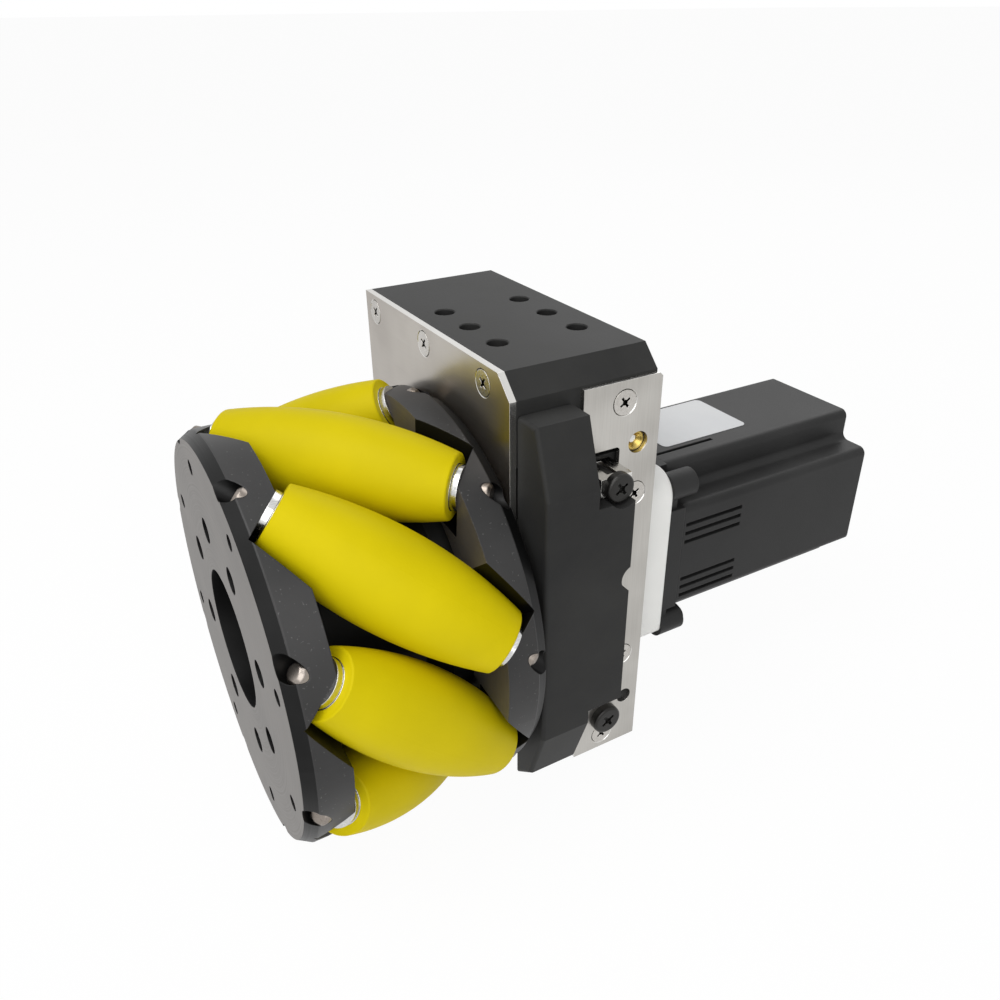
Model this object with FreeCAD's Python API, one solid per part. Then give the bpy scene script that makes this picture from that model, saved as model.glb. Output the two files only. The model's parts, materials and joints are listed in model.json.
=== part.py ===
import FreeCAD, Part
import math
import os

V = FreeCAD.Vector
os.makedirs("parts", exist_ok=True)

# Frame: origin at the centre of the six chassis holes on the top face, +Z up, +Y towards the motor.
# All sizes in millimetres.

# wheel
wheel_x = 4.0            # wheel axis ahead of the chassis hole centre
wheel_z = -77.0          # wheel axis below the chassis face
wheel_dia = 127.0        # over the rollers
wheel_width = 68.8       # over the two disc faces
plate_gap = 1.0          # inner disc face to the wheel side plate
roller_count = 8
roller_phase = -6.5      # angle of the first roller centre from +X towards +Z
roller_mid_r = 13.75     # largest radius of a roller
rubber_gap = 0.2         # end of the rubber to its washer
rubber_edge = 0.3        # bevel at the ends of the rubber
rubber_wall_r = 6.5      # radius of the core tube that carries the rubber
core_gap = 0.1           # core end to washer
axle_r = 3.0
axle_in = 3.6            # middle of a pin's end inside the disc face
axle_chamfer = 0.9
axle_play = 0.05
seat_in = 9.2            # middle of a tooth's seat face inside the disc face
washer_thick = 1.8
washer_r = 6.3
relief_side = 9.2        # relief face beside the roller end
relief_tilt = 12.2       # degrees, relief face against the roller axis
disc_inside = 3.1        # disc rim inside the rolling circle
disc_face_inside = 5.2
disc_cone = 3.5
disc_web = 8.0
tooth_high = 12.6
tooth_ring_r = 41.0
tooth_floor_r = 37.0
disc_bore_r = 20.5
screw_ring_r = 32.4
screw_phase = 17.5
rim_hole_ring_r = 50.5
rim_hole_r = 2.25
rim_hole_deep = 7.0

# small cap screws that join discs and hub
cap_head_r = 3.5
cap_head_high = 4.0
cap_bore_r = 3.8
cap_bore_deep = 5.5
cap_shank_r = 2.0
cap_hole_r = 2.2
cap_hex = 3.0            # across the flats
cap_hex_deep = 2.2

# hub and shaft
hub_flange_r = 36.0
hub_flange = 8.0
hub_slope = 4.0          # from the flange down to the waist
hub_r = 27.0
hub_recess = 24.0        # depth of the open bore behind the outer disc
hub_recess_r = 16.5
hub_mouth = 6.0          # wider mouth of that bore
shaft_r = 8.5
shaft_play = 0.03
shaft_in_gearbox = 8.0
shaft_tip_gap = 0.5
end_washer_r = 16.0
end_washer_thick = 4.0
end_bolt_r = 4.0
end_bolt_len = 22.0
end_bolt_head_r = 6.5
end_bolt_head_high = 8.0
end_bolt_hex = 6.0
end_bolt_hex_deep = 4.0

# housing
block_back = -50.5
block_front = 41.6
block_half_y = 22.2
block_high = 32.0
block_chamfer = 6.0
chassis_pitch_x = 16.0
chassis_pitch_y = 26.0
chassis_hole_r = 3.0
chassis_hole_deep = 18.0
hole_bevel = 0.3
side_plate_thick = 2.0
side_plate_low = -112.0
side_plate_chamfer = 8.0
shaft_slot_r = 14.0
side_screw_x = (-43.4, -7.8, 27.8)
side_screw_z = -5.4
post_screw_z = (-60.0, -100.0)
front_plate_thick = 1.6
front_plate_left = -2.8
front_plate_step = 1.8
front_plate_step_z = -13.0
step_cut = 0.6           # small cut above the slanted part of the step
step_slant = 2.9         # height of that slanted part
front_plate_right = 23.0
front_plate_top = -6.6
front_plate_low = -137.0
plate_corner = 1.0
window_top = -25.7
window_low = -38.0
window_right = 9.8
window_corner = 1.2
post_thick = 12.0
base_top = -121.1
base_low = -133.5
base_left = -14.0
rail_thick = 8.0
rail_left = 12.2

# countersunk and pan head screws of the plates
csk_head_r = 3.65
csk_rim = 0.35           # straight edge of a countersunk head, with a groove round it
csk_shank_r = 2.0
csk_len = 9.5
csk_cross = 1.8          # half length of the cross slot
csk_cross_deep = 1.3
cross_wide = 0.2         # half width of a cross slot against its half length
cross_core = 0.45        # round middle of a cross slot against its half length
cross_turn = 35.0
screw_hole_deep = 8.0
block_csk = (10.7, -12.9)      # y and z of the front screws
rail_csk = ((16.1, -42.0), (15.8, -100.6))
base_csk = (9.7, -131.3)
base_pan = (10.0, -123.9)
pan_head_r = 5.0
pan_head_high = 2.8
pan_shank_r = 2.5
pan_len = 9.0
pan_edge = 0.9
pan_cross_deep = 1.4
low_hole = (17.9, -118.6)
low_hole_r = 2.6
plunger_y = 16.0
plunger_z = -25.8
plunger_r = 3.1
plunger_gap = 0.15
plunger_len = 10.4
plunger_sunk = 10.0      # depth of its hole in the block
plunger_edge = 0.4
pin_r = 1.2
pin_len = 3.0
pin_in = 1.4             # pin end inside the plunger's face
pin_mouth_r = 2.3

# suspension
travel = 3.0
rod_r = 4.0
rod_front_x = 32.0
rod_back_x = -24.0
rod_y = -5.6
rod_sunk = 22.0
rod_in_base = 9.0
rod_clear = 0.6
bush_r = 7.5
bush_len = 24.0
bush_play = 0.03
spring_r = 7.0
spring_wire_r = 1.2
spring_turns = 4.5
pocket_r = 8.0
carrier_top = -36.0
carrier_low = -121.0
carrier_back = -36.0
carrier_front = 40.8
carrier_left = -21.9
carrier_right = 10.4
ear_top = -28.2
ear_back = 31.0
ear_gap = 0.5            # left between ear and block with the slide at the top
ear_side_gap = 0.4
ear_room = 1.5           # behind the ear
pocket_floor = -60.0
bearing_r = 17.5
bearing_wide = 10.0
bearing_sunk = 1.5
bearing_lip = 3.5        # shoulder ring between the bearings, over the shaft
spacer_r = 26.0          # ring between the carrier and the gearbox
spacer_bore_r = 14.0

# guide shoe on the front of the carrier
shoe_left = -22.0
shoe_tail_right = -5.9
shoe_mid_right = 5.9
shoe_back = 41.9
shoe_front = 56.35
shoe_top = -10.0
shoe_top_front = 50.3
shoe_flat_top = -28.6
shoe_flat_low = -108.5
shoe_low_front = 49.6
shoe_low_z = -127.6
shoe_low = -134.0
shoe_mid_top = -34.6
shoe_mid_low = -103.9
shoe_foot_top = -40.0
shoe_foot_low = -116.0
shoe_plate_gap = 0.3
shoe_round = 1.2
shoe_notch_z = -60.3
shoe_notch_r = 4.3
shoe_notch_out = 1.6     # its centre lies outside the edge
scallop_gap = 0.6

# stop block
stop_out = 11.4
stop_wide = 10.0
stop_mid_y = 2.4
stop_top = -28.8
stop_low = -34.3
stop_groove = 1.6        # half width of the groove in its top
stop_groove_deep = 1.2
stop_groove_back = 2.0
stop_groove_front = 2.2
stop_head_r = 4.3
stop_head_high = 2.6
stop_shank_r = 2.5
stop_hold = 9.0          # thread depth in the carrier
stop_tip_gap = 1.0       # left free under the screw

# gearbox and motor
flange_half = 30.3
flange_start = 22.4
flange_end = 38.8
flange_top_r = 8.0
flange_low_r = 2.5
motor_half = 30.0
motor_z = -79.0          # the motor sits a little below the wheel axis
motor_step = 19.3
motor_edge = 2.6
bell_end = 45.0
bell_skirt = 3.5
bell_skirt_in = 1.2
bell_skirt_r = 4.0
motor_end = 128.0
ear_at = 26.4
ear_r = 4.6
ear_out = 3.6
ear_screw_r = 1.6
ear_head_r = 2.8
ear_head_high = 1.4
ear_key_r = 1.3
ear_key_deep = 0.9
vent_rows = 3
vent_pitch = 3.25
vent_first = 7.3
vent_mid = -1.5          # middle of the vents against the motor axis
vent_half = 0.7
vent_deep = 1.5
vent_start = 46.0
vent_end = 70.0
top_vent_x = 12.2
label_mid_x = -3.4       # against the motor axis
label_half = 12.9
label_start = 52.0
label_end = 88.4
label_thick = 0.15
label_r = 2.0

wheel_y = -(block_half_y + side_plate_thick + plate_gap + wheel_width / 2)
crown = wheel_dia / 2
roller_ring = crown - roller_mid_r
half_width = wheel_width / 2
disc_r = crown - disc_inside
disc_face_r = crown - disc_face_inside
seat_dist = (half_width - seat_in) * math.sqrt(2)      # along the roller axis from its middle
axle_half = (half_width - axle_in) * math.sqrt(2)
roller_half = seat_dist - washer_thick - rubber_gap
hub_web_y = -(half_width - disc_web) + hub_recess
side_face = -(block_half_y + side_plate_thick)
plate_front = block_front + front_plate_thick
post_mid_x = block_back + post_thick / 2
stop_mid_z = (stop_top + stop_low) / 2
plunger_face = block_front - plunger_sunk + plunger_len
rods_x = (rod_front_x, rod_back_x)
front_csk = (block_csk, *rail_csk, base_csk)

AX = V(1, 0, 0)
AY = V(0, 1, 0)
AZ = V(0, 0, 1)
ZERO = V(0, 0, 0)
TINY = 0.01              # tolerance when edges are picked out


def box(x0, x1, y0, y1, z0, z1):
    return Part.makeBox(x1 - x0, y1 - y0, z1 - z0, V(x0, y0, z0))


def cyl(r, length, base, axis):
    return Part.makeCylinder(r, length, base, axis)


def tube(r_out, r_in, length, base, axis):
    return cyl(r_out, length, base, axis).cut(cyl(r_in, length, base, axis))


def turned(points):
    # solid of revolution about Y; points are (radius, distance along the axis)
    corners = [V(p[0], p[1], 0) for p in points]
    face = Part.Face(Part.makePolygon(corners + [corners[0]]))
    return face.revolve(ZERO, AY, 360)


def prism_xz(points, y0, y1):
    # plate with a side view given in x and z
    corners = [V(p[0], y0, p[1]) for p in points]
    face = Part.Face(Part.makePolygon(corners + [corners[0]]))
    return face.extrude(V(0, y1 - y0, 0))


def prism_yz(points, x0, x1):
    corners = [V(x0, p[0], p[1]) for p in points]
    face = Part.Face(Part.makePolygon(corners + [corners[0]]))
    return face.extrude(V(x1 - x0, 0, 0))


def long_edges(shape, axis, length):
    # straight edges that run along an axis over a given length
    found = []
    for e in shape.Edges:
        d = e.Vertexes[-1].Point.sub(e.Vertexes[0].Point)
        if abs(d.Length - length) < TINY and abs(abs(d.dot(axis)) - length) < TINY:
            found.append(e)
    return found


def moved(shape, places):
    # copies of one shape at several places
    out = []
    for p in places:
        s = shape.copy()
        s.translate(p)
        out.append(s)
    return out


def on_wheel(shape, angle=0.0):
    # turn a shape about the wheel axis, then bring it to the wheel
    s = shape.copy()
    s.rotate(ZERO, AY, -angle)
    s.translate(V(wheel_x, wheel_y, wheel_z))
    return s


def roller_place(shape):
    # from an upright local roller, length along z, to the slanted seat of the roller on the +X side
    s = shape.copy()
    s.rotate(ZERO, AX, -135)
    s.translate(V(roller_ring, 0, 0))
    return s


def roller_angles():
    return [roller_phase + k * 360.0 / roller_count for k in range(roller_count)]


def save(shape, name):
    shape.exportStep("parts/" + name + ".step")


def cross_recess(face_point, axis, size, deep):
    # cross slot cut into a screw head, from the face inwards along the axis
    w = size * cross_wide
    arm = box(-size, size, -w, w, 0, deep)
    cross = arm.fuse([box(-w, w, -size, size, 0, deep), cyl(size * cross_core, deep, ZERO, AZ)])
    if axis == AX:
        cross.rotate(ZERO, AY, -90)
    else:
        cross.rotate(ZERO, AX, -90)
    cross.rotate(ZERO, axis, cross_turn)
    cross.translate(face_point)
    return cross


def hex_socket(flats, y, deep):
    # six sided key hole that starts at y and runs along +Y
    r = flats / math.sqrt(3)
    corners = []
    for k in range(7):
        a = math.radians(60 * k)
        corners.append(V(r * math.cos(a), y, r * math.sin(a)))
    return Part.Face(Part.makePolygon(corners)).extrude(V(0, deep, 0))


# wheel discs


def tooth_cutter():
    # room for one roller end: the seat face square to the roller axis, the relief face beside the roller
    reach = crown
    rise = reach * math.tan(math.radians(relief_tilt))
    points = [(relief_side, -seat_dist), (relief_side + rise, -seat_dist + reach)]
    points += [(-reach, -seat_dist + reach), (-reach, -seat_dist)]
    room = prism_yz(points, tooth_floor_r - roller_ring, reach)
    return roller_place(room)


def axle_hole():
    reach = seat_dist + disc_r / 2
    return roller_place(cyl(axle_r, 2 * reach, V(0, 0, -reach), AZ))


def disc_blank():
    # turned blank of the outer disc; the face looks to -Y
    f = -half_width
    points = [(disc_bore_r, f), (disc_face_r, f), (disc_r, f + disc_cone), (disc_r, f + tooth_high)]
    points += [(tooth_ring_r, f + tooth_high), (tooth_ring_r, f + disc_web), (disc_bore_r, f + disc_web)]
    return turned(points)


def ring_points(r, inner=False):
    # places on a circle of the wheel; the inner disc is the outer one turned over
    out = []
    for k in range(roller_count):
        a = screw_phase + k * 360.0 / roller_count
        if inner:
            a = 2 * roller_phase - a
        a = math.radians(a)
        out.append((r * math.cos(a), r * math.sin(a)))
    return out


def outer_disc():
    f = -half_width
    cuts = []
    for tool in (tooth_cutter(), axle_hole()):
        for a in roller_angles():
            t = tool.copy()
            t.rotate(ZERO, AY, -a)
            cuts.append(t)
    for x, z in ring_points(screw_ring_r):
        cuts.append(cyl(cap_bore_r, cap_bore_deep, V(x, f, z), AY))
        cuts.append(cyl(cap_hole_r, disc_web, V(x, f, z), AY))
    for x, z in ring_points(rim_hole_ring_r):
        cuts.append(cyl(rim_hole_r, rim_hole_deep, V(x, f, z), AY))
    return disc_blank().cut(cuts)


def other_side(shape):
    # half a turn about the radius of the first roller
    s = shape.copy()
    a = math.radians(roller_phase)
    s.rotate(ZERO, V(math.cos(a), 0, math.sin(a)), 180)
    return s


def hub():
    h = half_width - disc_web
    waist = h - hub_flange - hub_slope
    points = [(hub_flange_r, -h), (hub_flange_r, -h + hub_flange), (hub_r, -waist), (hub_r, waist)]
    points += [(hub_flange_r, h - hub_flange), (hub_flange_r, h), (shaft_r, h), (shaft_r, hub_web_y)]
    points += [(hub_recess_r, hub_web_y), (hub_recess_r, -h + hub_mouth)]
    points += [(disc_bore_r, -h + hub_mouth), (disc_bore_r, -h)]
    return turned(points)


def cap_screw():
    # underside of the head at y = 0; the shank is drawn down to the hub face
    head = cyl(cap_head_r, cap_head_high, V(0, -cap_head_high, 0), AY)
    shank = cyl(cap_shank_r, disc_web - cap_bore_deep, ZERO, AY)
    return head.fuse(shank).cut(hex_socket(cap_hex, -cap_head_high, cap_hex_deep))


def hub_screws():
    screw = cap_screw()
    seat = half_width - cap_bore_deep
    out = moved(screw, [V(x, -seat, z) for x, z in ring_points(screw_ring_r)])
    screw.rotate(ZERO, AZ, 180)
    out += moved(screw, [V(x, seat, z) for x, z in ring_points(screw_ring_r, True)])
    return Part.makeCompound(out)


# rollers


def roller_radius(u):
    # the wheel runs round because each roller bulges to fill the rolling circle
    return math.sqrt(crown ** 2 - u * u / 2) - roller_ring


def tread():
    h = roller_half
    bulge = h - rubber_edge
    end_r = roller_radius(h) - rubber_edge
    side_r = roller_radius(bulge)
    crown_line = Part.Arc(V(side_r, 0, -bulge), V(roller_radius(0), 0, 0), V(side_r, 0, bulge))
    low = Part.makePolygon([V(rubber_wall_r, 0, -h), V(end_r, 0, -h), V(side_r, 0, -bulge)])
    high = Part.makePolygon([V(side_r, 0, bulge), V(end_r, 0, h), V(rubber_wall_r, 0, h)])
    bore = Part.makePolygon([V(rubber_wall_r, 0, h), V(rubber_wall_r, 0, -h)])
    outline = Part.Wire(low.Edges + [crown_line.toShape()] + high.Edges + bore.Edges)
    return Part.Face(outline).revolve(ZERO, AZ, 360)


def core():
    half = seat_dist - washer_thick - core_gap
    return tube(rubber_wall_r, axle_r + axle_play, 2 * half, V(0, 0, -half), AZ)


def axles():
    pin = cyl(axle_r, 2 * axle_half, V(0, 0, -axle_half), AZ)
    ends = [e for e in pin.Edges if abs(abs(e.CenterOfMass.z) - axle_half) < TINY]
    pin = roller_place(pin.makeChamfer(axle_chamfer, ends))
    return Part.makeCompound([on_wheel(pin, a) for a in roller_angles()])


def washers():
    ring = tube(washer_r, axle_r, washer_thick, V(0, 0, -seat_dist), AZ)
    pair = [roller_place(s) for s in moved(ring, [ZERO, V(0, 0, 2 * seat_dist - washer_thick)])]
    return Part.makeCompound([on_wheel(w, a) for a in roller_angles() for w in pair])


# shaft


def drive_shaft():
    y0 = wheel_y + hub_web_y
    rod = cyl(shaft_r, flange_start + shaft_in_gearbox - y0, V(wheel_x, y0, wheel_z), AY)
    return rod.cut(cyl(end_bolt_r, end_bolt_len - end_washer_thick, V(wheel_x, y0, wheel_z), AY))


def end_washer():
    y = wheel_y + hub_web_y - end_washer_thick
    return tube(end_washer_r, end_bolt_r, end_washer_thick, V(wheel_x, y, wheel_z), AY)


def end_bolt():
    head = cyl(end_bolt_head_r, end_bolt_head_high, V(0, -end_bolt_head_high, 0), AY)
    bolt = head.fuse(cyl(end_bolt_r, end_bolt_len, ZERO, AY))
    bolt = bolt.cut(hex_socket(end_bolt_hex, -end_bolt_head_high, end_bolt_hex_deep))
    bolt.translate(V(wheel_x, wheel_y + hub_web_y - end_washer_thick, wheel_z))
    return bolt


def shaft_bearings():
    ring = tube(bearing_r, shaft_r + shaft_play, bearing_wide, V(wheel_x, 0, wheel_z), AY)
    ends = [V(0, carrier_left + bearing_sunk, 0), V(0, carrier_right - bearing_wide, 0)]
    return Part.makeCompound(moved(ring, ends))


# housing


def chassis_holes():
    return [(i * chassis_pitch_x, j * chassis_pitch_y / 2) for j in (-1, 1) for i in (-1, 0, 1)]


def side_profile(low_corners):
    # top edge with its slanted corner, shared by the block and the wheel side plate
    return [(block_back, 0), (block_front - block_chamfer, 0), (block_front, -block_chamfer)] + low_corners


def top_block():
    low_corners = [(block_front, -block_high), (block_back, -block_high)]
    body = prism_xz(side_profile(low_corners), -block_half_y, block_half_y)
    room_top = ear_top + travel + ear_gap
    room_right = carrier_right + ear_side_gap
    cuts = [box(ear_back - ear_room, block_front, -block_half_y, room_right, -block_high, room_top)]
    for x, y in chassis_holes():
        cuts.append(cyl(chassis_hole_r, chassis_hole_deep, V(x, y, -chassis_hole_deep), AZ))
        mouth_r = chassis_hole_r + hole_bevel
        cuts.append(Part.makeCone(chassis_hole_r, mouth_r, hole_bevel, V(x, y, -hole_bevel), AZ))
    for x in rods_x:
        cuts.append(cyl(rod_r, rod_sunk, V(x, rod_y, -block_high), AZ))
    for x in side_screw_x:
        cuts.append(cyl(csk_shank_r, screw_hole_deep, V(x, -block_half_y, side_screw_z), AY))
    cuts.append(front_seat(block_csk))
    cuts.append(front_hole(plunger_r, plunger_sunk, (plunger_y, plunger_z)))
    return body.cut(cuts)


def front_hole(r, deep, place):
    # blind hole from the front face of the housing
    return cyl(r, deep, V(block_front - deep, place[0], place[1]), AX)


def front_seat(place):
    # hole of a front screw, whose cone reaches a little through the plate
    seat = csk_shape(csk_len, AX)
    seat.translate(V(plate_front, place[0], place[1]))
    return seat


def back_post():
    body = box(block_back, block_back + post_thick, -block_half_y, block_half_y, base_low, -block_high)
    hole = cyl(csk_shank_r, screw_hole_deep, V(post_mid_x, -block_half_y, 0), AY)
    return body.cut(moved(hole, [V(0, 0, z) for z in post_screw_z]))


def base_bar():
    body = box(block_back + post_thick, block_front, base_left, block_half_y, base_low, base_top)
    cuts = [cyl(rod_r, rod_in_base, V(x, rod_y, base_top - rod_in_base), AZ) for x in rods_x]
    cuts.append(front_seat(base_csk))
    cuts.append(front_hole(pan_shank_r, screw_hole_deep, base_pan))
    return body.cut(cuts)


def front_rail():
    body = box(block_front - rail_thick, block_front, rail_left, block_half_y, base_top, -block_high)
    return body.cut([front_seat(place) for place in rail_csk])


def csk_shape(length, axis):
    # countersunk seat with its mouth at the origin, the shank inwards
    mouth_r = csk_head_r + csk_rim
    high = mouth_r - csk_shank_r
    if axis == AY:
        cone = Part.makeCone(mouth_r, csk_shank_r, high, ZERO, AY)
        return cone.fuse(cyl(csk_shank_r, length, ZERO, AY))
    cone = Part.makeCone(csk_shank_r, mouth_r, high, V(-high, 0, 0), AX)
    return cone.fuse(cyl(csk_shank_r, length, V(-length, 0, 0), AX))


def side_plate_places():
    places = [V(x, side_face, side_screw_z) for x in side_screw_x]
    return places + [V(post_mid_x, side_face, z) for z in post_screw_z]


def front_plate_places():
    return [V(plate_front, y, z) for y, z in front_csk]


def side_plate():
    lower = side_plate_low + side_plate_chamfer
    corners = [(block_front, lower), (block_front - side_plate_chamfer, side_plate_low)]
    corners.append((block_back, side_plate_low))
    body = prism_xz(side_profile(corners), side_face, -block_half_y)
    # the shaft moves up and down in this slot
    slot = cyl(shaft_slot_r, side_plate_thick, V(wheel_x, side_face, wheel_z), AY)
    slot = slot.fuse(cyl(shaft_slot_r, side_plate_thick, V(wheel_x, side_face, wheel_z + travel), AY))
    x0 = wheel_x - shaft_slot_r
    slot = slot.fuse(box(x0, x0 + 2 * shaft_slot_r, side_face, -block_half_y, wheel_z, wheel_z + travel))
    return body.cut([slot] + moved(csk_shape(side_plate_thick, AY), side_plate_places()))


def front_plate():
    a = front_plate_left
    s = a + front_plate_step
    points = [(a, front_plate_top), (front_plate_right - plate_corner, front_plate_top)]
    points += [(front_plate_right, front_plate_top - plate_corner), (front_plate_right, front_plate_low)]
    points += [(s, front_plate_low), (s, front_plate_step_z - step_slant)]
    points += [(a + step_cut, front_plate_step_z - step_cut), (a, front_plate_step_z)]
    body = prism_yz(points, block_front, plate_front)
    window = box(block_front, plate_front, s, window_right, window_low, window_top)
    right = [e for e in long_edges(window, AX, front_plate_thick) if e.CenterOfMass.y > s + window_corner]
    cuts = [window.makeFillet(window_corner, right)]
    cuts += moved(csk_shape(front_plate_thick, AX), front_plate_places())
    plunger_at = (plunger_y, plunger_z)
    for r, place in ((pan_shank_r, base_pan), (plunger_r + plunger_gap, plunger_at), (low_hole_r, low_hole)):
        cuts.append(cyl(r, front_plate_thick, V(block_front, place[0], place[1]), AX))
    return body.cut(cuts)


def csk_screw(length, axis):
    # the head fills its seat but for a groove round its straight edge
    start = ZERO if axis == AY else V(-csk_rim, 0, 0)
    groove = tube(csk_head_r + 2 * csk_rim, csk_head_r, csk_rim, start, axis)
    return csk_shape(length, axis).cut([groove, cross_recess(ZERO, axis, csk_cross, csk_cross_deep)])


def side_plate_screws():
    return Part.makeCompound(moved(csk_screw(csk_len, AY), side_plate_places()))


def front_plate_screws():
    return Part.makeCompound(moved(csk_screw(csk_len, AX), front_plate_places()))


def pan_screw(head_r, head_high, shank_r, length):
    # pan head standing on the plane x = 0, shank along -X
    head = cyl(head_r, head_high, ZERO, AX)
    rim = [e for e in head.Edges if abs(e.CenterOfMass.x - head_high) < TINY]
    head = head.makeFillet(pan_edge, rim)
    s = head.fuse(cyl(shank_r, length, V(-length, 0, 0), AX))
    return s.cut(cross_recess(V(head_high, 0, 0), AX, head_r / 2, pan_cross_deep))


def front_plate_pan_screw():
    s = pan_screw(pan_head_r, pan_head_high, pan_shank_r, pan_len)
    s.translate(V(plate_front, *base_pan))
    return s


def plunger():
    s = cyl(plunger_r, plunger_len, V(plunger_face - plunger_len, plunger_y, plunger_z), AX)
    rim = [e for e in s.Edges if abs(e.CenterOfMass.x - plunger_face) < TINY]
    s = s.makeChamfer(plunger_edge, rim)
    deep = pin_mouth_r - pin_r
    mouth = Part.makeCone(pin_r, pin_mouth_r, deep, V(plunger_face - deep, plunger_y, plunger_z), AX)
    way = cyl(pin_r, pin_in, V(plunger_face - pin_in, plunger_y, plunger_z), AX)
    return s.cut([mouth, way, plunger_pin()])


def plunger_pin():
    return cyl(pin_r, pin_len, V(plunger_face - pin_in - pin_len, plunger_y, plunger_z), AX)


def guide_rods():
    low = base_top - rod_in_base
    rod = cyl(rod_r, rod_sunk - block_high - low, V(0, rod_y, low), AZ)
    return Part.makeCompound(moved(rod, [V(x, 0, 0) for x in rods_x]))


def spring(x):
    # open coil between the pocket floor and the top block
    r = spring_r - spring_wire_r
    high = -block_high - pocket_floor - 2 * spring_wire_r
    helix = Part.makeHelix(high / spring_turns, high, r)
    ring = Part.Wire(Part.makeCircle(spring_wire_r, V(r, 0, 0), AY))
    coil = Part.Wire(helix.Edges).makePipeShell([ring], True, True)
    coil.translate(V(x, rod_y, pocket_floor + spring_wire_r))
    return coil


# carriage


def bearing_carrier():
    y0 = carrier_left
    y1 = carrier_right
    body = box(carrier_back, carrier_front, y0, y1, carrier_low, carrier_top)
    ear = box(ear_back, carrier_front, y0, y1, carrier_top, ear_top)
    body = body.fuse(ear).removeSplitter()
    cuts = [cyl(shaft_r + bearing_lip, y1 - y0, V(wheel_x, y0, wheel_z), AY)]
    cuts.append(cyl(bearing_r, bearing_wide + bearing_sunk, V(wheel_x, y0, wheel_z), AY))
    cuts.append(cyl(bearing_r, bearing_wide, V(wheel_x, y1 - bearing_wide, wheel_z), AY))
    for x in rods_x:
        cuts.append(cyl(rod_r + rod_clear, ear_top - carrier_low, V(x, rod_y, carrier_low), AZ))
        cuts.append(cyl(pocket_r, ear_top - pocket_floor, V(x, rod_y, pocket_floor), AZ))
        cuts.append(cyl(bush_r, bush_len, V(x, rod_y, carrier_low), AZ))
    cuts.append(cyl(stop_shank_r, stop_hold, V(carrier_front - stop_hold, stop_mid_y, stop_mid_z), AX))
    return body.cut(cuts)


def spacer_ring():
    return tube(spacer_r, spacer_bore_r, flange_start - carrier_right, V(wheel_x, carrier_right, wheel_z), AY)


def slide_bushes():
    ring = tube(bush_r, rod_r + bush_play, bush_len, V(0, rod_y, carrier_low), AZ)
    return Part.makeCompound(moved(ring, [V(x, 0, 0) for x in rods_x]))


def guide_shoe():
    side = [(shoe_back, shoe_top), (shoe_top_front, shoe_top), (shoe_front, shoe_flat_top)]
    side += [(shoe_front, shoe_flat_low), (shoe_low_front, shoe_low_z), (shoe_back, shoe_low)]
    tail = prism_xz(side, shoe_left, shoe_tail_right)
    # the edges towards the wheel are rounded, but for the one at the back
    outer = [e for e in tail.Edges if e.BoundBox.YMax < shoe_left + TINY]
    tail = tail.makeFillet(shoe_round, [e for e in outer if e.CenterOfMass.x > shoe_back + TINY])
    back = plate_front + shoe_plate_gap
    mid = box(back, shoe_front, shoe_tail_right, shoe_mid_right, shoe_mid_low, shoe_mid_top)
    foot = box(carrier_front, shoe_back, shoe_left, shoe_tail_right, shoe_foot_low, shoe_foot_top)
    body = tail.fuse([mid, foot]).removeSplitter()
    deep = shoe_front - back
    notch = cyl(shoe_notch_r, deep, V(back, shoe_mid_right + shoe_notch_out, shoe_notch_z), AX)
    scallop = cyl(stop_head_r + scallop_gap, deep, V(back, stop_mid_y, stop_mid_z), AX)
    return body.cut([notch, scallop])


def stop_block():
    x1 = carrier_front + stop_out
    y0 = stop_mid_y - stop_wide / 2
    body = box(carrier_front, x1, y0, y0 + stop_wide, stop_low, stop_top)
    g0 = stop_mid_y - stop_groove
    g1 = stop_mid_y + stop_groove
    floor = stop_top - stop_groove_deep
    groove = box(carrier_front + stop_groove_back, x1 - stop_groove_front, g0, g1, floor, stop_top)
    return body.cut([groove, cyl(stop_shank_r, stop_out, V(carrier_front, stop_mid_y, stop_mid_z), AX)])


def stop_screw():
    s = pan_screw(stop_head_r, stop_head_high, stop_shank_r, stop_out + stop_hold - stop_tip_gap)
    s.translate(V(carrier_front + stop_out, stop_mid_y, stop_mid_z))
    return s


# gearbox and motor


def square_body(half, z, y0, y1):
    return box(wheel_x - half, wheel_x + half, y0, y1, z - half, z + half)


def gearbox_flange():
    body = square_body(flange_half, wheel_z, flange_start, flange_end)
    sides = long_edges(body, AY, flange_end - flange_start)
    body = body.makeFillet(flange_top_r, [e for e in sides if e.CenterOfMass.z > wheel_z])
    sides = long_edges(body, AY, flange_end - flange_start)
    body = body.makeFillet(flange_low_r, [e for e in sides if e.CenterOfMass.z < wheel_z])
    deep = shaft_in_gearbox + shaft_tip_gap
    return body.cut(cyl(shaft_r + shaft_play, deep, V(wheel_x, flange_start, wheel_z), AY))


def cross_body(y0, y1):
    # square section with four stepped corners
    h = motor_half
    s = motor_step
    points = [(s, h), (-s, h), (-s, s), (-h, s), (-h, -s), (-s, -s)]
    points += [(-x, -z) for x, z in points]
    return prism_xz([(wheel_x + x, motor_z + z) for x, z in points], y0, y1)


def ear_points():
    return [(wheel_x + i * ear_at, motor_z + j * ear_at) for i in (-1, 1) for j in (-1, 1)]


def motor_bell():
    skirt = square_body(motor_half - bell_skirt_in, motor_z, flange_end, flange_end + bell_skirt)
    skirt = skirt.makeFillet(bell_skirt_r, long_edges(skirt, AY, bell_skirt))
    ear = cyl(ear_r, bell_end - flange_end + ear_out, V(0, flange_end, 0), AY)
    ears = moved(ear, [V(x, 0, z) for x, z in ear_points()])
    body = cross_body(flange_end, bell_end).fuse(ears + [skirt]).removeSplitter()
    hole = cyl(ear_screw_r, bell_end - flange_end + ear_out, V(0, flange_end, 0), AY)
    return body.cut(moved(hole, [V(x, 0, z) for x, z in ear_points()]))


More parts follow.
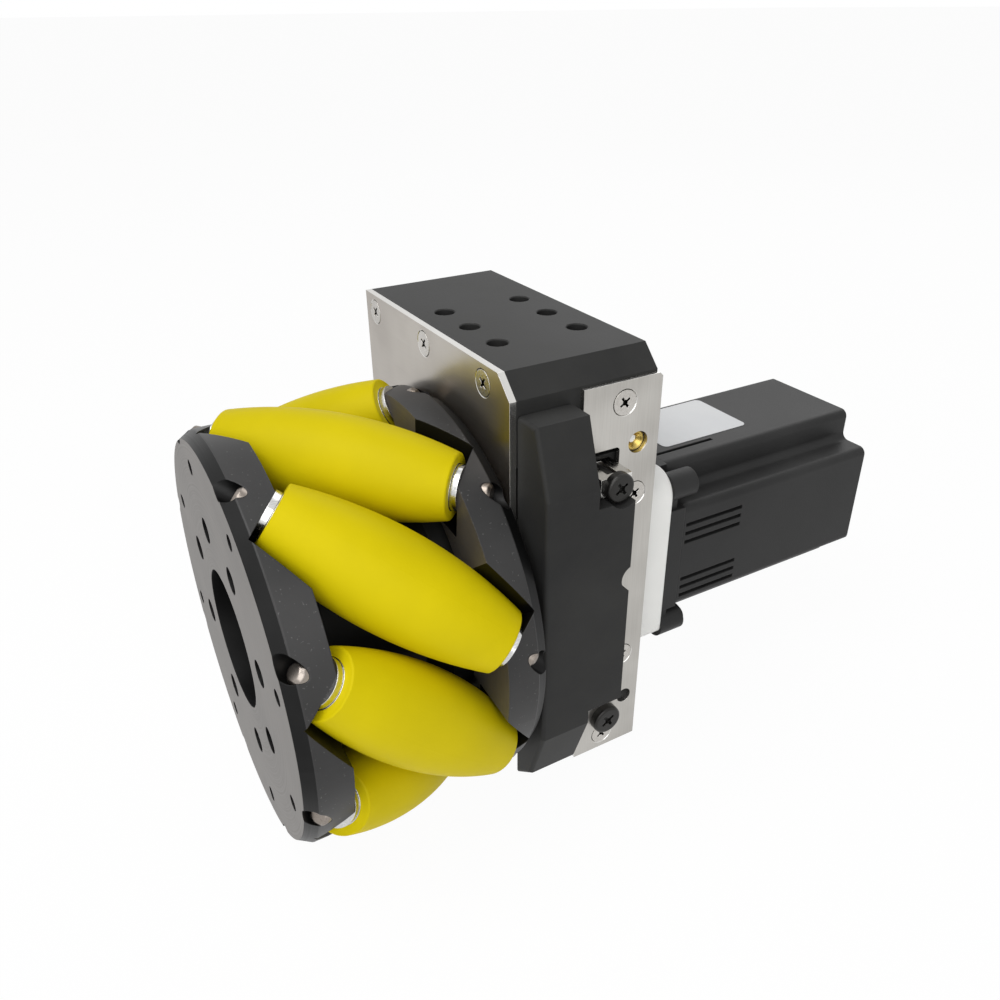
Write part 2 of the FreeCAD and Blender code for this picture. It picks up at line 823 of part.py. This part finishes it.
def vent_heights():
    rows = [vent_first + vent_pitch * k for k in range(vent_rows)]
    return [motor_z + vent_mid + side * row for side in (-1, 1) for row in rows]


def motor_cover():
    body = cross_body(bell_end, motor_end)
    body = body.makeFillet(motor_edge, long_edges(body, AY, motor_end - bell_end))
    cuts = []
    for z in vent_heights():
        for x in (wheel_x - motor_half, wheel_x + motor_half - vent_deep):
            cuts.append(box(x, x + vent_deep, vent_start, vent_end, z - vent_half, z + vent_half))
    x = wheel_x + top_vent_x
    top = motor_z + motor_half
    cuts.append(box(x - vent_half, x + vent_half, vent_start, vent_end, top - vent_deep, top))
    return body.cut(cuts)


def motor_screws():
    y = bell_end + ear_out
    s = cyl(ear_head_r, ear_head_high, V(0, y, 0), AY)
    s = s.fuse(cyl(ear_screw_r, y - flange_end, V(0, flange_end, 0), AY))
    s = s.cut(cyl(ear_key_r, ear_key_deep, V(0, y + ear_head_high - ear_key_deep, 0), AY))
    return Part.makeCompound(moved(s, [V(x, 0, z) for x, z in ear_points()]))


def motor_label():
    x = wheel_x + label_mid_x
    top = motor_z + motor_half
    body = box(x - label_half, x + label_half, label_start, label_end, top, top + label_thick)
    return body.makeFillet(label_r, long_edges(body, AZ, label_thick))


disc = outer_disc()
save(on_wheel(disc), "outer_disc")
save(on_wheel(other_side(disc)), "inner_disc")
save(on_wheel(hub()), "wheel_hub")
save(on_wheel(hub_screws()), "hub_screws")
save(axles(), "roller_axles")
save(washers(), "roller_washers")
save(drive_shaft(), "drive_shaft")
save(end_washer(), "shaft_end_washer")
save(end_bolt(), "shaft_end_bolt")

rubber = roller_place(tread())
tube_core = roller_place(core())
for k, angle in enumerate(roller_angles()):
    save(on_wheel(rubber, angle), "roller_tread_" + str(k + 1))
    save(on_wheel(tube_core, angle), "roller_core_" + str(k + 1))

save(top_block(), "top_block")
save(back_post(), "back_post")
save(base_bar(), "base_bar")
save(front_rail(), "front_rail")
save(side_plate(), "wheel_side_plate")
save(front_plate(), "front_plate")
save(side_plate_screws(), "side_plate_screws")
save(front_plate_screws(), "front_plate_screws")
save(front_plate_pan_screw(), "front_plate_pan_screw")
save(plunger(), "index_plunger")
save(plunger_pin(), "plunger_pin")
save(guide_rods(), "guide_rods")
save(spring(rod_front_x), "front_spring")
save(spring(rod_back_x), "back_spring")

save(bearing_carrier(), "bearing_carrier")
save(spacer_ring(), "spacer_ring")
save(shaft_bearings(), "shaft_bearings")
save(slide_bushes(), "slide_bushes")
save(guide_shoe(), "guide_shoe")
save(stop_block(), "stop_block")
save(stop_screw(), "stop_screw")
save(gearbox_flange(), "gearbox_flange")
save(motor_bell(), "motor_bell")
save(motor_cover(), "motor_cover")
save(motor_screws(), "motor_screws")
save(motor_label(), "motor_label")
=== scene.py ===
import json
import math

import bmesh
import bpy
from mathutils import Matrix, Vector


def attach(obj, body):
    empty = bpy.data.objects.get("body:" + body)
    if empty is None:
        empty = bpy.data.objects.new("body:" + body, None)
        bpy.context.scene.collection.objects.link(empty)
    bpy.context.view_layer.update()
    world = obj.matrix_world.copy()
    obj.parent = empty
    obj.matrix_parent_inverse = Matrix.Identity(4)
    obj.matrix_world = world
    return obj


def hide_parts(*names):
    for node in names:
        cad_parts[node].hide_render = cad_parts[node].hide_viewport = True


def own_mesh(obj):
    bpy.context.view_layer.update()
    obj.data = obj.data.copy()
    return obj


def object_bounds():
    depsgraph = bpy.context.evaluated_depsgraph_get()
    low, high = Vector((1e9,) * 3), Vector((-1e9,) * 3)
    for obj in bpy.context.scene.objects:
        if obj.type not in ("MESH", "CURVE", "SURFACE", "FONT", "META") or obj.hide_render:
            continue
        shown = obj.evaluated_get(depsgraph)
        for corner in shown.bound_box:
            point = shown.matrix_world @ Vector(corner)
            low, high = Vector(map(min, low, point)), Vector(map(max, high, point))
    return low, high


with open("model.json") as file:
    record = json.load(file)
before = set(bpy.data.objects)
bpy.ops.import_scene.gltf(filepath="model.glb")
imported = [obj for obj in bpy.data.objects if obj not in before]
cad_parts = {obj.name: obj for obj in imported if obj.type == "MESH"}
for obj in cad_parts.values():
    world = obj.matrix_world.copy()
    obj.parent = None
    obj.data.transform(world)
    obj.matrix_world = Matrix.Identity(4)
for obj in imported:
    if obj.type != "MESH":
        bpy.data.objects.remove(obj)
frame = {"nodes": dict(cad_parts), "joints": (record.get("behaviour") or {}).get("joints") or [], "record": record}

box_low, box_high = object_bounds()

# Places read from the frame, in metres.
joints = {joint["name"]: joint for joint in frame["joints"]}
wheel_centre = Vector(joints["wheel_spin"]["pos_m"])
rim_radius = max(
    math.hypot(v.co.x - wheel_centre.x, v.co.z - wheel_centre.z)
    for v in frame["nodes"]["outer_disc"].data.vertices)
side_screw_face = min(v.co.y for v in frame["nodes"]["side_plate_screws"].data.vertices)
front_screw_face = max(v.co.x for v in frame["nodes"]["front_plate_screws"].data.vertices)

# Depths and radii of the finish, in metres.
GRAIN_DEPTH = 0.0002
LINE_DEPTH = 0.0001
DISC_EDGE = 0.0003
RIM_BAND = 0.0002            # the painted shade on the discs begins this far below their rim
RECESS_SHADE_DEPTH = 0.0002                # painted shade: a screw's slots and groove are painted dark this far below its face

# How fine each pattern is, per metre.
GRAINED_PATCHES = 28.0
BRUSHED_PATCHES = 22.0
DISC_PATCHES = 35.0
FLOOR_PATCHES = 3.0
RING_SCALE = 1600.0
SPECK_SCALE = 1100.0

# Pairs of tones from dark to light, as linear colours.
# lighter tones on the cut edges of sheets: a painted highlight
CUT_EDGE_HIGHLIGHT_TONES = ((0.6, 0.59, 0.565), (0.7, 0.69, 0.665))
# near black for the slots and grooves of screws: painted shade
RECESS_SHADE_TONES = ((0.02, 0.019, 0.018), (0.05, 0.048, 0.045))
SCREW_TONES = ((0.44, 0.42, 0.39), (0.56, 0.54, 0.51))
FLOOR_TONES = ((0.86, 0.86, 0.86), (0.9, 0.9, 0.9))

# Shares and limits of the finish.
SPECK_TONE = (0.16, 0.16, 0.155)
SPECK_STRENGTH = 0.5
SPECK_RANGE = (0.68, 0.74)   # noise at which a speck begins and is strongest
BRUSHED_RANGE = (0.4, 0.6)   # noise at which drawn metal is darkest and lightest
FLAT_LIMIT = 0.95            # a face looks along an axis if its normal's share is above this
CUT_EDGE_ROUGHNESS = 0.6     # of a cut edge, against the face of its sheet
DISC_GLEAM = 0.35            # metallic share on the faces and the rim of a disc
DEEP_GLEAM = 0.75            # and in its holes, teeth and chamfers
EDGE_SAMPLES = 6

# Light: the world's strength on matt surfaces, and the lamps with
# name, place in metres, side in metres and power in watts.
SKY_LIGHT = 0.22
LAMP_TARGET = Vector((0.0, 0.0, -0.07))
LAMPS = (
    ("key lamp", (0.05, -0.45, 0.9), 0.7, 7.0),
    ("fill lamp", (0.7, -0.35, 0.35), 0.8, 4.5),
    ("back lamp", (-0.5, 0.7, 0.7), 0.8, 2.4),
)

# Floor: half its side, its gap below the object, and how much of its look is plain white.
# The rest keeps the shadow.
FLOOR_HALF = 40.0
FLOOR_GAP = 0.0005
FLOOR_GLOW = 0.96

# Camera: place in metres, line of sight, the picture's way down, lens and clipping.
CAMERA_PLACE = Vector((0.2154, -0.1254, 0.0798))
CAMERA_LOOK = Vector((-0.75856, 0.42875, -0.49067))
CAMERA_DOWN = Vector((0.42206, -0.25042, -0.87130))
CAMERA_LENS = 31.6
CAMERA_SENSOR = 36.0
CAMERA_NEAR = 0.01
CAMERA_FAR = 100.0


def new_material(name):
    mat = bpy.data.materials.new(name)
    mat.use_nodes = True
    nodes = mat.node_tree.nodes
    shader = nodes["Principled BSDF"]
    return mat, nodes, mat.node_tree.links, shader


def place_node(nodes, links, scale=(1, 1, 1), origin=(0, 0, 0)):
    # object coordinates, moved to an origin and stretched
    coord = nodes.new("ShaderNodeTexCoord")
    mapping = nodes.new("ShaderNodeMapping")
    mapping.vector_type = "TEXTURE"
    mapping.inputs["Location"].default_value = origin
    mapping.inputs["Scale"].default_value = [1 / s for s in scale]
    links.new(coord.outputs["Object"], mapping.inputs["Vector"])
    return mapping.outputs["Vector"]


def split_node(nodes, links, vector):
    parts = nodes.new("ShaderNodeSeparateXYZ")
    links.new(vector, parts.inputs["Vector"])
    return parts.outputs


def noise_node(nodes, links, vector, scale, detail, rough=0.55):
    noise = nodes.new("ShaderNodeTexNoise")
    noise.inputs["Scale"].default_value = scale
    noise.inputs["Detail"].default_value = detail
    noise.inputs["Roughness"].default_value = rough
    links.new(vector, noise.inputs["Vector"])
    return noise.outputs["Fac"]


def ramp_node(nodes, links, value, tones, start=0.35, end=0.65):
    # from the first tone at start to the second at end
    ramp = nodes.new("ShaderNodeValToRGB")
    first, second = ramp.color_ramp.elements
    first.position = start
    first.color = (*tones[0], 1)
    second.position = end
    second.color = (*tones[1], 1)
    links.new(value, ramp.inputs["Fac"])
    return ramp.outputs["Color"]


def range_node(nodes, links, value, low, high, start=0.3, end=0.7):
    # from low where the value is start to high where it is end
    spread = nodes.new("ShaderNodeMapRange")
    spread.inputs["From Min"].default_value = start
    spread.inputs["From Max"].default_value = end
    spread.inputs["To Min"].default_value = low
    spread.inputs["To Max"].default_value = high
    links.new(value, spread.inputs["Value"])
    return spread.outputs["Result"]


def math_node(nodes, links, operation, first, second):
    node = nodes.new("ShaderNodeMath")
    node.operation = operation
    for socket, value in zip(node.inputs, (first, second)):
        if isinstance(value, (int, float)):
            socket.default_value = value
        else:
            links.new(value, socket)
    return node.outputs[0]


def mix_node(nodes, links, factor, first, second):
    mix = nodes.new("ShaderNodeMix")
    mix.data_type = "RGBA"
    links.new(factor, mix.inputs["Factor"])
    for name, value in (("A", first), ("B", second)):
        socket = [s for s in mix.inputs if s.name == name and s.type == "RGBA"][0]
        links.new(value, socket)
    return [s for s in mix.outputs if s.type == "RGBA"][0]


def finish_surface(nodes, links, shader, height, bump, distance, edge):
    # fine relief on the faces, and every sharp edge looks rounded by a small radius
    rounded = nodes.new("ShaderNodeBevel")
    rounded.samples = EDGE_SAMPLES
    rounded.inputs["Radius"].default_value = edge
    relief = nodes.new("ShaderNodeBump")
    relief.inputs["Strength"].default_value = bump
    relief.inputs["Distance"].default_value = distance
    links.new(height, relief.inputs["Height"])
    links.new(rounded.outputs["Normal"], relief.inputs["Normal"])
    links.new(relief.outputs["Normal"], shader.inputs["Normal"])


def facing_node(nodes, links, axis):
    # 1 on the faces that look along an axis of the part
    coord = nodes.new("ShaderNodeTexCoord")
    facing = split_node(nodes, links, coord.outputs["Normal"])
    flat = math_node(nodes, links, "ABSOLUTE", facing[axis], 0.0)
    return math_node(nodes, links, "GREATER_THAN", flat, FLAT_LIMIT)


def behind_node(nodes, links, axis, place, sign):
    # 1 behind a place along an axis; the sign says to which side behind is
    coord = nodes.new("ShaderNodeTexCoord")
    parts = split_node(nodes, links, coord.outputs["Object"])
    test = "GREATER_THAN" if sign > 0 else "LESS_THAN"
    return math_node(nodes, links, test, parts[axis], place)


def specks(nodes, links, vector, colour):
    # a few tiny pale specks of wear and dust
    spots = noise_node(nodes, links, vector, SPECK_SCALE, 2.0)
    amount = range_node(nodes, links, spots, 0.0, SPECK_STRENGTH, *SPECK_RANGE)
    tone = nodes.new("ShaderNodeRGB")
    tone.outputs[0].default_value = (*SPECK_TONE, 1)
    return mix_node(nodes, links, amount, colour, tone.outputs[0])


def grained(name, tones, rough, grain, bump, metal=0.0, specular=0.5, edge=0.0003):
    # even surface with a fine blasted or moulded grain and slow patches of tone
    mat, nodes, links, shader = new_material(name)
    vector = place_node(nodes, links)
    patches = noise_node(nodes, links, vector, GRAINED_PATCHES, 5.0)
    fine = noise_node(nodes, links, vector, grain, 2.0)
    roughness = range_node(nodes, links, patches, rough - 0.05, rough + 0.05)
    links.new(ramp_node(nodes, links, patches, tones), shader.inputs["Base Color"])
    links.new(roughness, shader.inputs["Roughness"])
    finish_surface(nodes, links, shader, fine, bump, GRAIN_DEPTH, edge)
    shader.inputs["Metallic"].default_value = metal
    shader.inputs["Specular IOR Level"].default_value = specular
    return mat


def brushed(name, tones, rough, stretch, bump=0.05, edge=0.0002, flat=None, lined=0.5, recess_shade=None):
    # metal with drawn lines; stretch holds the scale along each axis, small along the lines
    # flat names the axis that a sheet faces: its cut edges are smoother and get a painted highlight, a brighter
    # colour
    # lined is the share of the lines in the tone
    # the recess argument holds the axis, place and side behind which the metal is painted near black: painted
    # shade in a screw's slots and groove
    mat, nodes, links, shader = new_material(name)
    lines = noise_node(nodes, links, place_node(nodes, links, stretch), 1.0, 6.0, 0.6)
    patches = noise_node(nodes, links, place_node(nodes, links), BRUSHED_PATCHES, 3.0)
    from_lines = math_node(nodes, links, "MULTIPLY", lines, lined)
    from_patches = math_node(nodes, links, "MULTIPLY", patches, 1 - lined)
    mixed = math_node(nodes, links, "ADD", from_lines, from_patches)
    colour = ramp_node(nodes, links, mixed, tones, *BRUSHED_RANGE)
    roughness = range_node(nodes, links, lines, rough - 0.12 * lined, rough + 0.16 * lined)
    if flat:
        on_face = facing_node(nodes, links, flat)
        # painted highlight: the cut edges of the sheet get a brighter colour
        edge_highlight = ramp_node(nodes, links, mixed, CUT_EDGE_HIGHLIGHT_TONES, *BRUSHED_RANGE)
        colour = mix_node(nodes, links, on_face, edge_highlight, colour)
        share = math_node(nodes, links, "MAXIMUM", on_face, CUT_EDGE_ROUGHNESS)
        roughness = math_node(nodes, links, "MULTIPLY", roughness, share)
    # painted shade: the screw's slots and groove are coloured near black
    if recess_shade:
        painted_shade = ramp_node(nodes, links, mixed, RECESS_SHADE_TONES, *BRUSHED_RANGE)
        colour = mix_node(nodes, links, behind_node(nodes, links, *recess_shade), colour, painted_shade)
    links.new(colour, shader.inputs["Base Color"])
    links.new(roughness, shader.inputs["Roughness"])
    finish_surface(nodes, links, shader, lines, bump, LINE_DEPTH, edge)
    shader.inputs["Metallic"].default_value = 1.0
    return mat


def wheel_radius(nodes, links, vector):
    # distance from the wheel axis, from places about the wheel's centre
    parts = split_node(nodes, links, vector)
    square_x = math_node(nodes, links, "MULTIPLY", parts["X"], parts["X"])
    square_z = math_node(nodes, links, "MULTIPLY", parts["Z"], parts["Z"])
    total = math_node(nodes, links, "ADD", square_x, square_z)
    return math_node(nodes, links, "POWER", total, 0.5)


def turning_rings(nodes, links, radius):
    rings = nodes.new("ShaderNodeTexNoise")
    rings.noise_dimensions = "1D"
    rings.inputs["Scale"].default_value = RING_SCALE
    rings.inputs["Detail"].default_value = 3.0
    links.new(radius, rings.inputs["W"])
    return rings.outputs["Fac"]


def turned_face(name, rim_tones, face_tones, shade_tones, rough):
    # disc with fine turning rings about the wheel axis: pale flat faces, a dark rim,
    # and painted shade and dark painted reflection on the holes, teeth and chamfers inside the rim
    mat, nodes, links, shader = new_material(name)
    vector = place_node(nodes, links, origin=tuple(wheel_centre))
    radius = wheel_radius(nodes, links, vector)
    rings = turning_rings(nodes, links, radius)
    patches = noise_node(nodes, links, vector, DISC_PATCHES, 5.0)
    rim = specks(nodes, links, vector, ramp_node(nodes, links, patches, rim_tones))
    # painted shade and dark painted reflection: near black inside the rim
    painted_shade = ramp_node(nodes, links, patches, shade_tones)
    face = ramp_node(nodes, links, patches, face_tones)
    on_rim = math_node(nodes, links, "GREATER_THAN", radius, rim_radius - RIM_BAND)
    on_face = facing_node(nodes, links, "Y")
    side = mix_node(nodes, links, on_rim, painted_shade, rim)
    links.new(mix_node(nodes, links, on_face, side, face), shader.inputs["Base Color"])
    roughness = range_node(nodes, links, rings, rough - 0.02, rough + 0.03)
    links.new(roughness, shader.inputs["Roughness"])
    finish_surface(nodes, links, shader, rings, 0.04, LINE_DEPTH, DISC_EDGE)
    outside = math_node(nodes, links, "MAXIMUM", on_rim, on_face)
    gleam = range_node(nodes, links, outside, DEEP_GLEAM, DISC_GLEAM, 0.0, 1.0)
    links.new(gleam, shader.inputs["Metallic"])
    shader.inputs["Specular IOR Level"].default_value = 0.4
    return mat


def screw_steel(name, recess_shade=None):
    return brushed(name, SCREW_TONES, rough=0.28, stretch=(1200, 1200, 1200), recess_shade=recess_shade)


SLOT_MATERIAL = {
    "black_aluminium": grained(
        "black anodised aluminium", ((0.018, 0.018, 0.018), (0.028, 0.028, 0.027)),
        rough=0.5, grain=1500.0, bump=0.12, specular=0.13),
    "disc_aluminium": turned_face(
        "turned dark anodised aluminium",
        rim_tones=((0.022, 0.022, 0.022), (0.033, 0.032, 0.032)),
        face_tones=((0.1, 0.09, 0.081), (0.128, 0.115, 0.104)),
        # near black inside the rim: painted shade and dark painted reflection
        shade_tones=((0.006, 0.006, 0.006), (0.012, 0.012, 0.012)),
        rough=0.42),
    "stainless": brushed(
        "brushed stainless sheet", ((0.36, 0.33, 0.298), (0.46, 0.43, 0.39)),
        rough=0.3, stretch=(60, 4000, 4000), bump=0.02, flat="Y", lined=0.2),
    "bright_steel": brushed(
        "ground steel", ((0.55, 0.55, 0.54), (0.7, 0.7, 0.69)),
        rough=0.2, stretch=(2500, 300, 2500)),
    "screw_steel": screw_steel("bright screw steel"),
    "black_screw": grained(
        "black oxide steel", ((0.018, 0.0175, 0.0165), (0.036, 0.035, 0.033)),
        rough=0.36, grain=1800.0, bump=0.1, metal=0.7),
    "spring_steel": brushed(
        "oiled spring steel", ((0.3, 0.3, 0.3), (0.45, 0.45, 0.44)),
        rough=0.35, stretch=(900, 900, 900)),
    "brass": brushed(
        "brass", ((0.4, 0.29, 0.075), (0.56, 0.42, 0.13)),
        rough=0.34, stretch=(900, 900, 900)),
    "yellow_rubber": grained(
        "yellow polyurethane", ((0.56, 0.455, 0.001), (0.62, 0.505, 0.0015)),
        rough=0.55, grain=1400.0, bump=0.1, specular=0.09),
    "black_plastic": grained(
        "black moulded plastic", ((0.016, 0.016, 0.016), (0.024, 0.024, 0.024)),
        rough=0.45, grain=2200.0, bump=0.25, specular=0.18, edge=0.0004),
    "white_metal": grained(
        "white lacquered metal", ((0.8, 0.8, 0.775), (0.86, 0.86, 0.835)),
        rough=0.4, grain=1200.0, bump=0.08, specular=0.4, edge=0.0005),
    "label": grained(
        "bare white label", ((0.6, 0.61, 0.62), (0.67, 0.675, 0.68)),
        rough=0.5, grain=900.0, bump=0.03, specular=0.2, edge=0.0001),
}

# Pieces that look different from the rest of their slot.
NODE_MATERIAL = {
    # the front sheet's lighter tones are painted light, a lit copy of the side sheet's stainless; its brushing
    # runs along its own axis
    "front_plate": brushed(
        "brushed stainless front sheet with painted light", ((0.39, 0.375, 0.35), (0.53, 0.515, 0.485)),
        rough=0.33, stretch=(4000, 4000, 60), bump=0.03, flat="X", lined=0.25),
    "roller_axles": brushed(
        "hardened pin steel", ((0.22, 0.19, 0.165), (0.32, 0.285, 0.255)),
        rough=0.3, stretch=(2500, 2500, 2500), bump=0.0, edge=0.0007, lined=0.3),
    # the hub screws are coloured darker than the other black screws: painted shade of the bores they sit in
    "hub_screws": grained(
        "cap screw steel with painted bore shade", ((0.012, 0.012, 0.012), (0.02, 0.02, 0.02)),
        rough=0.5, grain=1800.0, bump=0.1, metal=0.2),
    # these screws get painted shade in their slots and groove
    "side_plate_screws": screw_steel(
        "side plate screw steel", recess_shade=("Y", side_screw_face + RECESS_SHADE_DEPTH, 1)),
    "front_plate_screws": screw_steel(
        "front plate screw steel", recess_shade=("X", front_screw_face - RECESS_SHADE_DEPTH, -1)),
}


def dress_nodes():
    slots = {part["node"]: part["material_slot"] for part in frame["record"]["subparts"]}
    for name, node in frame["nodes"].items():
        node.data.materials.clear()
        node.data.materials.append(NODE_MATERIAL.get(name, SLOT_MATERIAL[slots[name]]))


def squeeze_springs():
    # each coil spring is drawn by a copy of its mesh fixed to the housing, and the original part is hidden
    for name in ("back_spring", "front_spring"):
        coil = bpy.data.objects.new(name + "_coil", frame["nodes"][name].data.copy())
        bpy.context.scene.collection.objects.link(coil)
        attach(coil, "housing")
        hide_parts(name)
        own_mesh(coil)


def place_lamp(name, place, size, power):
    lamp = bpy.data.lights.new(name, "AREA")
    lamp.shape = "SQUARE"
    lamp.size = size
    lamp.energy = power
    obj = bpy.data.objects.new(name, lamp)
    obj.location = place
    obj.rotation_mode = "QUATERNION"
    obj.rotation_quaternion = (LAMP_TARGET - Vector(place)).to_track_quat("-Z", "Y")
    bpy.context.scene.collection.objects.link(obj)


def background_rays(nodes, links):
    # 1 where a surface or the world is only looked at, directly or in a mirror
    path = nodes.new("ShaderNodeLightPath").outputs
    seen = math_node(nodes, links, "MAXIMUM", path["Is Camera Ray"], path["Is Glossy Ray"])
    return math_node(nodes, links, "MAXIMUM", seen, path["Is Transmission Ray"])


def studio():
    # the world looks white but lights matt surfaces less; the lamps give the rest
    world = bpy.data.worlds.new("soft studio")
    bpy.context.scene.world = world
    world.use_nodes = True
    nodes = world.node_tree.nodes
    links = world.node_tree.links
    back = nodes["Background"]
    back.inputs["Color"].default_value = (1, 1, 1, 1)
    strength = range_node(nodes, links, background_rays(nodes, links), SKY_LIGHT, 1.0, 0.0, 1.0)
    links.new(strength, back.inputs["Strength"])
    for lamp in LAMPS:
        place_lamp(*lamp)


def shader_mix(nodes, links, factor, first, second):
    mix = nodes.new("ShaderNodeMixShader")
    links.new(factor, mix.inputs["Fac"])
    links.new(first, mix.inputs[1])
    links.new(second, mix.inputs[2])
    return mix.outputs["Shader"]


def floor_material():
    mat, nodes, links, shader = new_material("pale floor")
    patches = noise_node(nodes, links, place_node(nodes, links), FLOOR_PATCHES, 2.0)
    tone = ramp_node(nodes, links, patches, FLOOR_TONES, 0.3, 0.7)
    links.new(tone, shader.inputs["Base Color"])
    shader.inputs["Roughness"].default_value = 0.9
    shader.inputs["Specular IOR Level"].default_value = 0.1
    glow = nodes.new("ShaderNodeEmission")
    glow.inputs["Color"].default_value = (1, 1, 1, 1)
    glow.inputs["Strength"].default_value = 1.0
    share = math_node(nodes, links, "MULTIPLY", background_rays(nodes, links), FLOOR_GLOW)
    look = shader_mix(nodes, links, share, shader.outputs["BSDF"], glow.outputs["Emission"])
    # from below the floor is clear, so that the underside of the object shows
    below = nodes.new("ShaderNodeNewGeometry").outputs["Backfacing"]
    clear = nodes.new("ShaderNodeBsdfTransparent").outputs["BSDF"]
    look = shader_mix(nodes, links, below, look, clear)
    links.new(look, nodes["Material Output"].inputs["Surface"])
    return mat


def floor():
    mesh = bpy.data.meshes.new("floor")
    shape = bmesh.new()
    bmesh.ops.create_grid(shape, x_segments=1, y_segments=1, size=FLOOR_HALF)
    shape.to_mesh(mesh)
    shape.free()
    mesh.materials.append(floor_material())
    obj = bpy.data.objects.new("floor", mesh)
    obj.location = (0, 0, box_low.z - FLOOR_GAP)
    bpy.context.scene.collection.objects.link(obj)


def camera():
    data = bpy.data.cameras.new("photo camera")
    obj = bpy.data.objects.new("photo camera", data)
    bpy.context.scene.collection.objects.link(obj)
    look = CAMERA_LOOK.normalized()
    right = CAMERA_DOWN.cross(look).normalized()
    down = look.cross(right).normalized()
    turn = Matrix((right, -down, -look)).transposed()
    obj.matrix_world = Matrix.Translation(CAMERA_PLACE) @ turn.to_4x4()
    data.sensor_width = CAMERA_SENSOR
    data.lens = CAMERA_LENS
    data.clip_start = CAMERA_NEAR
    data.clip_end = CAMERA_FAR
    bpy.context.scene.camera = obj


dress_nodes()
squeeze_springs()
studio()
floor()
camera()
bpy.context.scene.view_settings.view_transform = "Standard"
